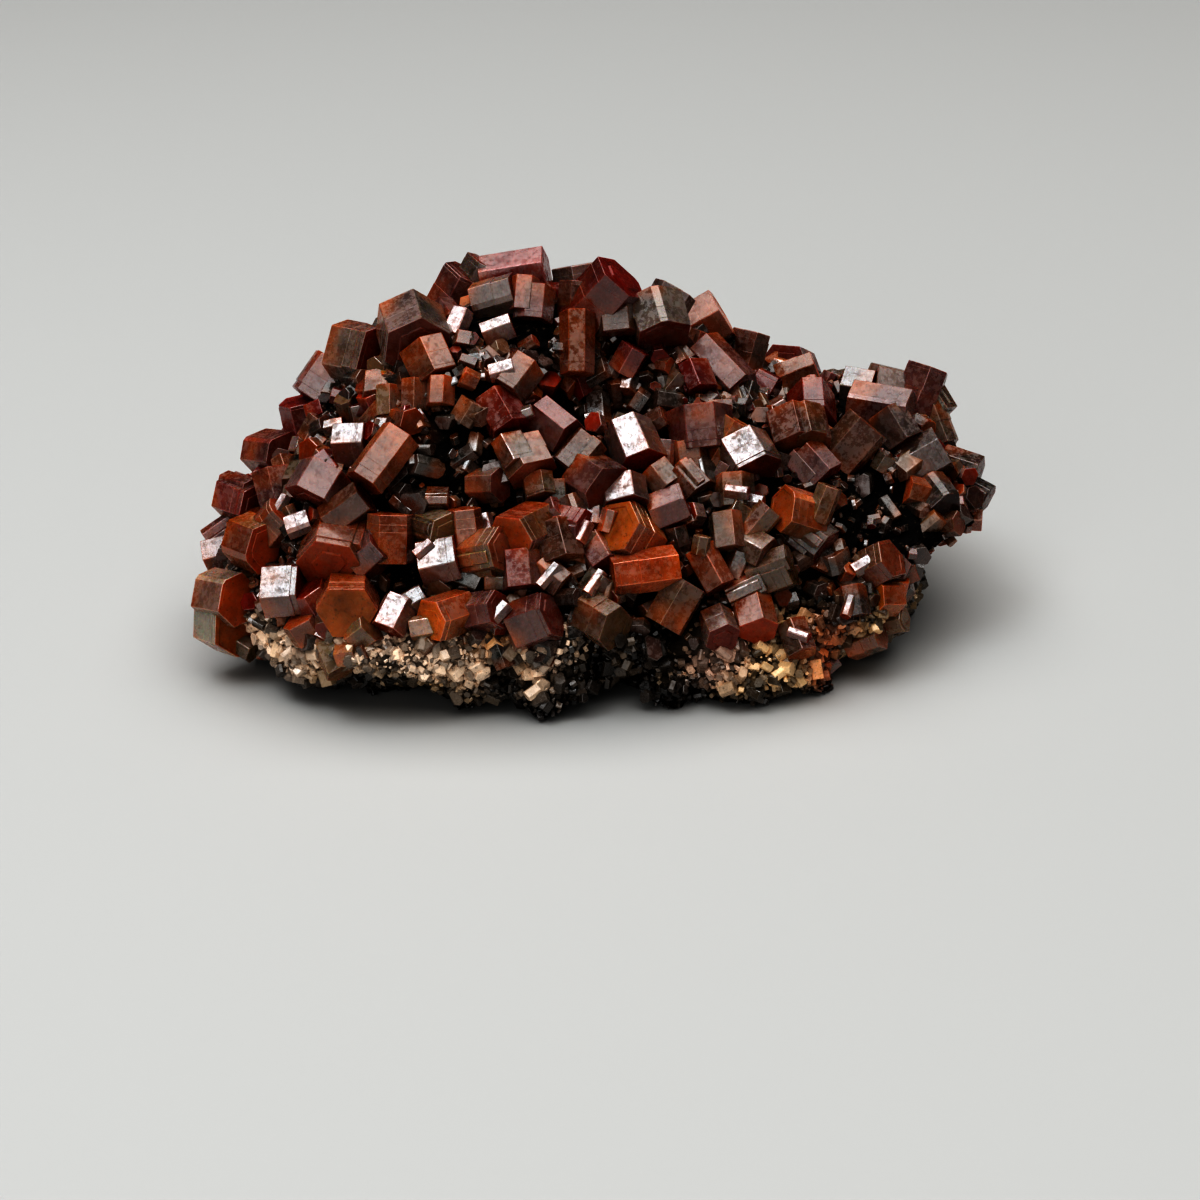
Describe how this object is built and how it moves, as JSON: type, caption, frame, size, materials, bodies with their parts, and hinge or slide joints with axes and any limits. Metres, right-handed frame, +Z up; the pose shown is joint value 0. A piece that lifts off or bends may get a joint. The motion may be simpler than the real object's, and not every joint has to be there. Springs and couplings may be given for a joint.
{
  "type": "vanadinite cluster",
  "caption": "Mineral specimen: a druse of stout hexagonal red vanadinite crystals on a mound of dark matrix, cut flat at the foot.",
  "frame": {"origin": "middle of the specimen's box, on the surface that it rests on", "axes": "+X along the specimen's length, to the right seen from the display side; -Y towards the display side; +Z up"},
  "size_m": [0.0566, 0.0354, 0.0265],
  "materials": {
    "vanadinite": "resinous, satin to glossy, brown-mauve prism faces and orange-red ends",
    "matrix": "rough, granular, black-brown with tan grains"
  },
  "bodies": {
    "root": {"crest_druse": "vanadinite", "crystal_clump_1": "vanadinite", "crystal_clump_10": "vanadinite", "crystal_clump_11": "vanadinite", "crystal_clump_2": "vanadinite", "crystal_clump_3": "vanadinite", "crystal_clump_4": "vanadinite", "crystal_clump_5": "vanadinite", "crystal_clump_6": "vanadinite", "crystal_clump_7": "vanadinite", "crystal_clump_8": "vanadinite", "crystal_clump_9": "vanadinite", "front_druse": "vanadinite", "lone_crystal_1": "vanadinite", "lone_crystal_2": "vanadinite", "lone_crystal_3": "vanadinite", "lone_crystal_4": "vanadinite", "lone_crystal_5": "vanadinite", "lone_crystal_6": "vanadinite", "lone_crystal_7": "vanadinite", "lone_crystal_8": "vanadinite", "matrix": "matrix"}
  },
  "joints": []
}
